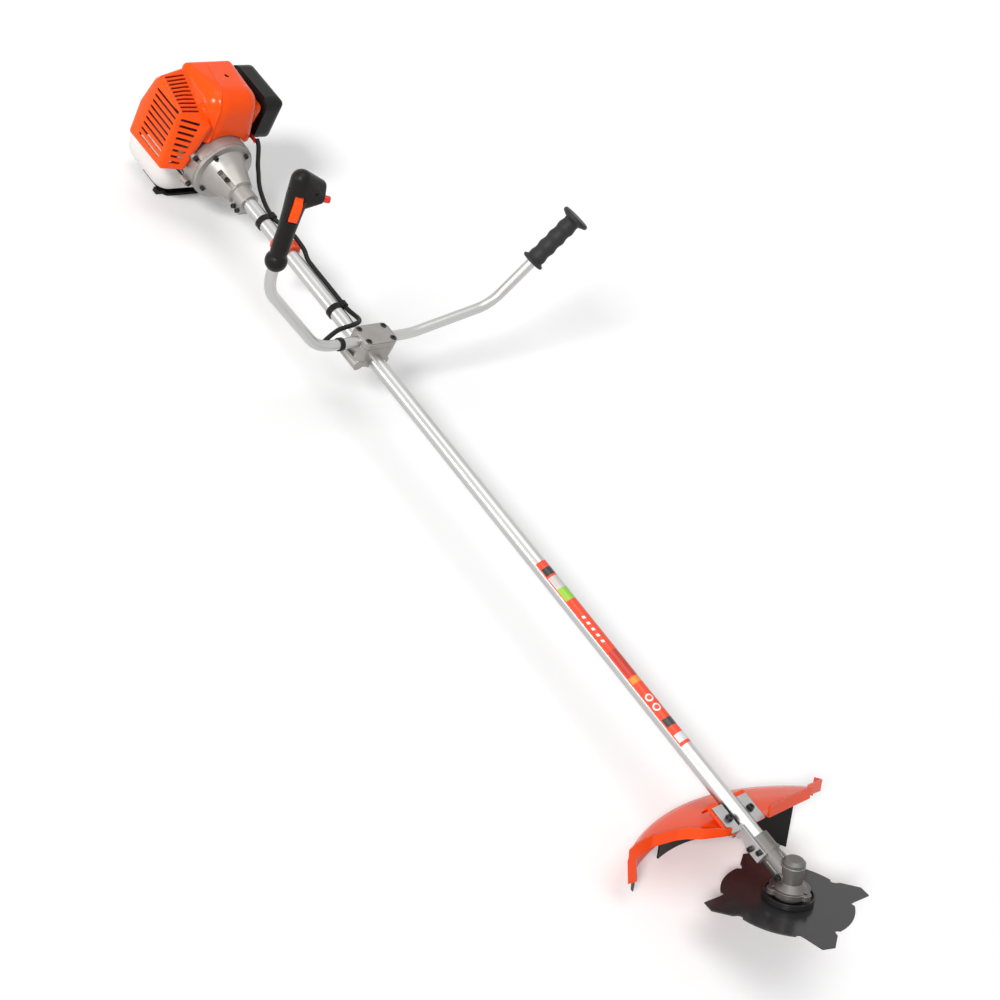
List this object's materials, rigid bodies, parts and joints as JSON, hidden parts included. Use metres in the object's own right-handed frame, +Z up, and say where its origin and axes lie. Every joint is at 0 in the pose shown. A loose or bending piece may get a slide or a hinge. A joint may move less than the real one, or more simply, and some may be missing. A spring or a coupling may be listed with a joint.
{
  "type": "brush cutter",
  "caption": "Petrol brush cutter with a straight tube shaft, bent handlebar, throttle grip, slotted engine cover, saddle tank, shield and toothed disc blade.",
  "frame": {"origin": "on the ground under the middle of the tank stand", "axes": "+X along the shaft from the engine to the blade, +Y to the left of the user, +Z up, with the shaft level"},
  "size_m": [1.8469, 0.6914, 0.5061],
  "materials": {
    "satin_aluminium": "satin",
    "cast_alloy": "sand-cast, matt",
    "bright_steel": "brushed",
    "dark_steel": "blackened",
    "black_bolts": "black oxide",
    "blade_steel": "semi-gloss dark grey",
    "orange_shell": "glossy",
    "orange_shield": "satin",
    "black_plastic": "fine grain",
    "rubber_black": "matt",
    "tank_white": "translucent",
    "red_plastic": "glossy",
    "brown_lining": "matt",
    "pale_plastic": "satin"
  },
  "bodies": {
    "frame": {"shaft_tube": "satin_aluminium", "tube_bushes": "rubber_black", "bearings": "bright_steel", "gear_case": "cast_alloy", "gear_case_bolts": "black_bolts", "guard": "orange_shield", "guard_extension": "black_plastic", "line_cutter": "dark_steel", "guard_bracket": "bright_steel", "bracket_pad": "rubber_black", "guard_bolts": "black_bolts", "handlebar": "satin_aluminium", "clamp_cap": "cast_alloy", "clamp_block": "cast_alloy", "clamp_base": "cast_alloy", "clamp_bolts": "black_bolts", "left_grip": "rubber_black", "throttle_housing_front": "black_plastic", "throttle_housing_rear": "black_plastic", "throttle_cable": "rubber_black", "cable_clips": "black_plastic", "hanger_clamp": "orange_shield", "clutch_housing": "cast_alloy", "housing_bolts": "black_bolts", "fan_housing": "cast_alloy", "crankcase": "cast_alloy", "cylinder_block": "cast_alloy", "spark_plug": "bright_steel", "plug_cap": "rubber_black", "muffler": "dark_steel", "top_cover": "orange_shell", "starter_housing": "black_plastic", "carburettor": "cast_alloy", "filter_base": "black_plastic", "filter_element": "pale_plastic", "filter_cover": "black_plastic", "fuel_tank": "tank_white", "tank_stand": "black_plastic"},
    "cutting_head": {"output_shaft": "bright_steel", "bevel_gear": "dark_steel", "upper_flange": "black_bolts", "blade": "blade_steel", "lower_flange": "bright_steel", "blade_nut": "bright_steel"},
    "drive_line": {"drive_shaft": "bright_steel", "pinion": "dark_steel", "clutch_drum": "dark_steel"},
    "crank_group": {"crankshaft": "bright_steel", "flywheel": "dark_steel", "clutch_shoes": "brown_lining"},
    "reel": {"starter_pulley": "pale_plastic"},
    "pull_grip": {"starter_handle": "black_plastic"},
    "trigger": {"throttle_trigger": "orange_shell"},
    "lockout": {"lockout_lever": "black_plastic"},
    "stop_key": {"stop_button": "red_plastic"},
    "choke": {"choke_lever": "red_plastic"},
    "primer": {"primer_bulb": "pale_plastic"},
    "tank_cap": {"fuel_cap": "black_plastic"},
    "cover_knob": {"filter_knob": "black_plastic"},
    "throttle_arm": {"carb_lever": "bright_steel"}
  },
  "joints": [
    {"name": "blade_spin", "type": "hinge", "parent": "frame", "child": "cutting_head", "pos_m": [1.66, 0, 0.124], "axis": [-0.4848, 0, 0.8746], "continuous": true},
    {"name": "drive_spin", "type": "hinge", "parent": "frame", "child": "drive_line", "pos_m": [1.66, 0, 0.124], "axis": [1, 0, 0], "continuous": true},
    {"name": "crank_spin", "type": "hinge", "parent": "frame", "child": "crank_group", "pos_m": [0, 0, 0.124], "axis": [1, 0, 0], "continuous": true},
    {"name": "starter_pull", "type": "slide", "parent": "frame", "child": "pull_grip", "axis": [0, 0, 1], "range_m": [0, 0.4], "stiffness_N_per_m": 12},
    {"name": "reel_spin", "type": "hinge", "parent": "frame", "child": "reel", "pos_m": [0, 0, 0.124], "axis": [1, 0, 0], "range_deg": [0, 700]},
    {"name": "throttle_pull", "type": "hinge", "parent": "frame", "child": "trigger", "pos_m": [0.55009, -0.30922, 0.47591], "axis": [0.4917, 0.8654, 0.0965], "range_deg": [0, 16], "stiffness_Nm_per_rad": 0.2},
    {"name": "lockout_press", "type": "hinge", "parent": "frame", "child": "lockout", "pos_m": [0.54894, -0.30272, 0.42355], "axis": [0.4917, 0.8654, 0.0965], "range_deg": [0, 8], "stiffness_Nm_per_rad": 0.2},
    {"name": "stop_press", "type": "slide", "parent": "frame", "child": "stop_key", "axis": [-0.4917, -0.8654, -0.0965], "range_m": [0, 0.003], "stiffness_N_per_m": 300},
    {"name": "choke_turn", "type": "hinge", "parent": "frame", "child": "choke", "pos_m": [0.066, 0.076, 0.164], "axis": [0, 1, 0], "range_deg": [0, 60]},
    {"name": "primer_push", "type": "slide", "parent": "frame", "child": "primer", "axis": [0, 0, 1], "range_m": [0, 0.004], "stiffness_N_per_m": 200},
    {"name": "fuel_cap_turn", "type": "hinge", "parent": "frame", "child": "tank_cap", "pos_m": [0, 0.118, 0.066], "axis": [0, 1, 0], "range_deg": [0, 180]},
    {"name": "filter_knob_turn", "type": "hinge", "parent": "frame", "child": "cover_knob", "pos_m": [0.022, 0.126, 0.194], "axis": [0, 1, 0], "range_deg": [0, 720]},
    {"name": "throttle_arm_turn", "type": "hinge", "parent": "frame", "child": "throttle_arm", "pos_m": [0.027, 0.06, 0.189], "axis": [0, 0, -1], "range_deg": [0, 66]}
  ],
  "couplings": [
    {"joint": "drive_spin", "follows": "blade_spin", "ratio": 1.3333},
    {"joint": "reel_spin", "follows": "starter_pull", "rad_per_m": 29.412},
    {"joint": "throttle_arm_turn", "follows": "throttle_pull", "ratio": 4}
  ]
}
